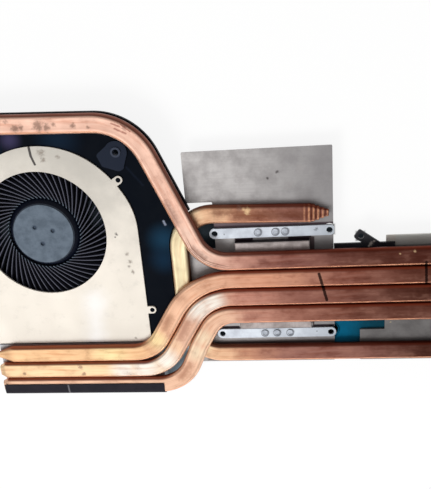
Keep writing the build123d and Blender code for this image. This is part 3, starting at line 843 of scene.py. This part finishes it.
def frameFinish():
    finish, tree, shader = newFinish("framePlastic", {"Specular IOR Level": housing["specular"]})
    where = placeInMm(tree)
    torn = noise(tree, where, *housing["torn"])
    body = tint(*housing["body"])
    for centre, radius, shade in housing["sheens"]:
        body = coat(tree, body, spot(tree, where, centre, radius, 1.0), shade)
    # a painted sheen along a line and a painted glint spot beside the pipe
    for line, shade in (("streak", "streakShade"), ("rubbed", "rubbedShade")):
        body = coat(tree, body, smears(tree, where, torn, [housing[line]]), housing[shade])
    high = fade(tree, axisOf(tree, where, 2), *housing["earRise"])
    body = coat(tree, body, times(tree, high, spot(tree, where, *housing["earSpot"])), housing["ear"])
    body = coat(tree, body, spot(tree, where, *housing["ringSpot"]), *housing["ring"])
    colour(tree, shader, body)
    stain = noise(tree, where, *housing["stain"])
    matte(tree, shader, fade(tree, stain, *noiseSpan, *housing["rough"]))
    roughen(tree, shader, noise(tree, where, *housing["grain"]), housing["bump"])
    return finish


wheel = {
    "centre": (-89.8, 25.3, 0.0), "specular": 0.25, "cloud": (4.0, 5.0, 0.65), "grain": (0.4, 3.0),
    # edge is a painted highlight on the blade tops, side a painted shade on the hub's sides
    "blade": (54, 55, 66), "edge": (76, 77, 89), "side": (7, 13, 29), "topFade": (0.6, 0.9),
    "hub": (97, 109, 122), "hubDark": (80, 91, 103), "hubFade": (0.35, 0.7), "hubReach": (15.3, 15.1),
    # painted highlight, a pale ring where the blades meet the hub
    "foot": ((74, 80, 92), 0.7), "footAt": 15.1, "footFade": (0.45, 0.2),
    "dimple": (56, 68, 84), "dimpleTurns": (17, 137, 257), "dimpleOut": 4.2, "dimpleReach": 1.0,
    "rough": (0.42, 0.6), "bump": 0.01,
}


def wheelFinish():
    finish, tree, shader = newFinish("wheelPlastic", {"Specular IOR Level": wheel["specular"]})
    where = placeInMm(tree)
    top = fade(tree, axisOf(tree, facingOf(tree), 2), *wheel["topFade"])
    centred = vectors(tree, "SUBTRACT", where, wheel["centre"])
    out = measure(tree, "LENGTH", flatOf(tree, centred))
    cloud = noise(tree, where, *wheel["cloud"])
    # painted highlight: blade tops paler than their sides
    blades = coat(tree, tint(*wheel["blade"]), top, wheel["edge"])
    hub = coat(tree, tint(*wheel["hub"]), fade(tree, cloud, *wheel["hubFade"]), wheel["hubDark"])
    # painted shade in the hub's dimples
    for turn in wheel["dimpleTurns"]:
        angle = math.radians(turn)
        dimpleAt = (wheel["dimpleOut"] * math.cos(angle), wheel["dimpleOut"] * math.sin(angle))
        hub = coat(tree, hub, spot(tree, centred, dimpleAt, wheel["dimpleReach"]), wheel["dimple"])
    # painted shade on the sides of the hub
    hub = blend(tree, top, tint(*wheel["side"]), hub)
    body = blend(tree, fade(tree, out, *wheel["hubReach"]), blades, hub)
    past = sums(tree, "ABSOLUTE", sums(tree, "SUBTRACT", out, wheel["footAt"]))
    body = coat(tree, body, fade(tree, past, *wheel["footFade"]), *wheel["foot"])
    colour(tree, shader, body)
    matte(tree, shader, fade(tree, cloud, *noiseSpan, *wheel["rough"]))
    roughen(tree, shader, noise(tree, where, *wheel["grain"]), wheel["bump"])
    return finish


# boxes are low x, low y, high x, high y, then shade and soft edge, and smooth is the least roughness
sheets = {
    "plateSheet": {
        "nodes": ["base_plate"], "metallic": 0.5, "cloudSize": 9.0, "roll": (0.04, 1, 1), "smooth": 0.42,
        "light": (208, 204, 202), "dark": (174, 169, 168), "dot": (84, 78, 78),
        # darker toward the right: a painted falloff of light
        "lean": (-34, 44), "leanTo": (142, 139, 140),
        # painted shadows: beside the processor block, along the spring arms and along the loop pipe
        "boxes": [
            ((-14.7, 18.0, -7.1, 20.4), (58, 42, 50), 0.5),
            ((6.0, 18.0, 15.4, 20.4), (58, 42, 50), 0.5),
            ((14.2, 12.0, 16.5, 19.4), (84, 70, 72), 0.5),
            ((-22.5, -20.3, -14.7, -18.8), (50, 40, 46), 0.4),
            ((14.7, -20.3, 23.6, -18.8), (50, 40, 46), 0.4),
            ((14.7, -19.5, 15.6, -16.0), (80, 68, 66), 0.3),
            ((-30.0, -36.0, 30.0, -25.2), (88, 74, 72), 1.8),
            ((-26.0, 23.8, 11.0, 27.4), (116, 100, 104), 1.0),
            ((-26.0, 23.2, 24.5, 25.3), (84, 70, 76), 0.6)],
        "smudges": [(-10.8, 43.0, 4.0), (7.7, 40.1, 3.2), (11.6, 46.5, 2.6)],
        "dots": [(3.3, 45.4, 1.3), (-0.5, 43.1, 0.8)],
    },
    "secondSheet": {
        "nodes": ["second_plate"], "metallic": 0.5, "cloudSize": 7.0, "roll": (0.04, 1, 1), "smooth": 0.42,
        "light": (126, 123, 122), "dark": (108, 105, 104), "dot": (186, 172, 140),
        "boxes": [
            # painted light on the top strip beside the pipes, where they shade it
            ((40, 14, 92, 24), (194, 193, 188), 1.0),
            ((42.6, 14.6, 47.4, 19.4), (196, 190, 182), 1.2)],
        "smudges": [(52.0, -20.0, 2.4)],
        "dots": [(46.9, -17.3, 1.0), (45.6, -18.6, 0.6)],
    },
    "blockPlating": {
        "nodes": ["processor_block", "second_block"], "metallic": 0.6, "cloudSize": 5.0,
        "roll": (1, 0.05, 1), "smooth": 0.36, "light": (194, 183, 180), "dark": (158, 147, 144),
        "flank": (40, 29, 34),
    },
    "armSteel": {
        "nodes": ["upper_spring_arm", "lower_spring_arm"], "metallic": 0.5, "cloudSize": 6.0,
        "roll": (0.03, 1, 1), "smooth": 0.34, "light": (232, 239, 248), "dark": (208, 214, 224),
        "lean": (2, 26), "leanTo": (192, 199, 208), "dot": (96, 100, 108),
        "smudges": [(4.0, 19.6, 1.4)],
        "dots": [(16.9, 22.5, 1.2), (16.4, -21.6, 0.6), (-18.4, 21.8, 0.6)],
    },
    "rivetSteel": {
        "nodes": ["arm_rivets"], "metallic": 0.5, "cloudSize": 2.0, "roll": (1, 1, 1), "smooth": 0.34,
        # dot is the colour of the painted shade rings round the rivet heads
        "light": (206, 212, 222), "dark": (176, 182, 192), "flank": (70, 74, 82), "dot": (64, 66, 74),
        "rings": [(-5.2, 22), (1.5, 22), (5.2, 22), (-4.6, -22), (0.3, -22), (5.6, -22)],
    },
    "bracketSteel": {
        "nodes": ["side_bracket", "far_bracket"], "metallic": 0.0, "cloudSize": 4.0, "roll": (1, 1, 1),
        "smooth": 0.4, "light": (24, 24, 30), "dark": (34, 34, 40), "dot": (176, 166, 158),
        "dots": [(37.5, 15.8, 1.3), (38.6, 16.8, 0.8), (36.8, 14.9, 0.7)],
    },
    "finSheet": {
        "nodes": ["fin_stack"], "metallic": 0.8, "cloudSize": 6.0, "roll": (1, 0.05, 1), "smooth": 0.34,
        "light": (190, 190, 192), "dark": (160, 158, 160),
    },
    "edgeTape": {
        "nodes": ["fin_edge_tape"], "metallic": 0.0, "cloudSize": 5.0, "roll": (0.05, 1, 1), "smooth": 0.5,
        "light": (30, 28, 35), "dark": (40, 37, 44), "dot": (110, 108, 112), "specular": 0.12,
        "scratches": [((-89.4, -42.4), (-89.2, -46.6), 0.45)],
    },
    "bearingBronze": {
        "nodes": ["bearing_sleeve"], "metallic": 1.0, "cloudSize": 1.5, "roll": (1, 1, 1), "smooth": 0.4,
        "light": (196, 150, 88), "dark": (160, 118, 66),
    },
    "motorSteel": {
        "nodes": ["stator_core", "rotor_cup", "rotor_shaft"], "metallic": 1.0, "cloudSize": 3.0,
        "roll": (1, 1, 0.1), "smooth": 0.34, "light": (168, 168, 172), "dark": (136, 136, 142),
    },
    "coilWire": {
        "nodes": ["stator_coils"], "metallic": 0.9, "cloudSize": 1.2, "roll": (0.2, 0.2, 1), "smooth": 0.3,
        "light": (190, 104, 58), "dark": (148, 74, 40),
    },
    "boardLaminate": {
        "nodes": ["motor_board"], "metallic": 0.0, "cloudSize": 3.0, "roll": (1, 1, 1), "smooth": 0.4,
        "light": (22, 92, 58), "dark": (16, 72, 46),
    },
    "magnetFerrite": {
        "nodes": ["rotor_magnet"], "metallic": 0.2, "cloudSize": 2.0, "roll": (1, 1, 1), "smooth": 0.5,
        "light": (46, 46, 50), "dark": (34, 34, 38),
    },
}
sheetLook = {
    "specular": 0.4, "cloud": (5.0, 0.62), "cloudFade": (0.35, 0.7), "stain": (1.0, 4.0, 0.65),
    "rolled": (0.5, 3.0, 0.6), "rolledFade": (0.45, 0.7, 0.0, 0.25), "smudgeShare": 0.6, "dotShare": 0.9,
    # a ring is painted shade round a rivet head, a disc less a smaller one that sits off centre: radius
    # and soft edge of each
    "ringDisc": (1.6, 0.1), "ringHole": (1.152, 0.2), "holeShift": (-0.2, 0.25), "ringShare": 0.6,
    "flankFade": (0.6, 0.3), "roughStep": 0.16, "bump": 0.01,
}


def sheetFinish(name, facts):
    # bare sheet with rolling lines, clouds, smudges and dots
    specular = facts.get("specular", sheetLook["specular"])
    finish, tree, shader = newFinish(
        name, {"Metallic": facts["metallic"], "Specular IOR Level": specular})
    where = placeInMm(tree)
    cloud = noise(tree, where, facts["cloudSize"], *sheetLook["cloud"])
    rolled = noise(tree, where, *sheetLook["rolled"], facts["roll"])
    stain = noise(tree, where, *sheetLook["stain"])
    body = coat(tree, tint(*facts["light"]), fade(tree, cloud, *sheetLook["cloudFade"]), facts["dark"])
    body = coat(tree, body, fade(tree, rolled, *sheetLook["rolledFade"]), facts["dark"])
    # darker toward the right where a sheet has a lean
    if "lean" in facts:
        body = coat(tree, body, fade(tree, axisOf(tree, where, 0), *facts["lean"]), facts["leanTo"])
    # painted shadows on the base plate and painted light on the second plate, box by box
    for box, shade, edge in facts.get("boxes", []):
        body = coat(tree, body, inBox(tree, where, box, edge), shade)
    if "smudges" in facts:
        dirt = blots(tree, where, stain, facts["smudges"])
        body = coat(tree, body, dirt, facts["dark"], sheetLook["smudgeShare"])
    if "dots" in facts:
        dots = blots(tree, where, stain, facts["dots"])
        body = coat(tree, body, dots, facts["dot"], sheetLook["dotShare"])
    if "scratches" in facts:
        body = coat(tree, body, smears(tree, where, stain, facts["scratches"]), facts["dot"])
    shiftX, shiftY = sheetLook["holeShift"]
    # painted shade: an off-centre ring round each rivet head
    for x, y in facts.get("rings", []):
        disc = spot(tree, where, (x, y), *sheetLook["ringDisc"])
        hole = spot(tree, where, (x + shiftX, y + shiftY), *sheetLook["ringHole"])
        ring = sums(tree, "MAXIMUM", sums(tree, "SUBTRACT", disc, hole), 0.0)
        body = coat(tree, body, ring, facts["dot"], sheetLook["ringShare"])
    # painted shade on the upright sides
    if "flank" in facts:
        upright = fade(tree, axisOf(tree, facingOf(tree), 2), *sheetLook["flankFade"])
        body = coat(tree, body, upright, facts["flank"])
    colour(tree, shader, body)
    smooth = facts["smooth"]
    matte(tree, shader, fade(tree, cloud, *noiseSpan, smooth, smooth + sheetLook["roughStep"]))
    roughen(tree, shader, rolled, sheetLook["bump"])
    return finish


def dress(node, finish):
    mesh = nodes[node].data
    mesh.materials.clear()
    mesh.materials.append(finish)


dress("fan_cover", coverFinish())
dress("fan_frame", frameFinish())
dress("impeller", wheelFinish())
for name, facts in sheets.items():
    finish = sheetFinish(name, facts)
    for node in facts["nodes"]:
        dress(node, finish)
print("finishes set")
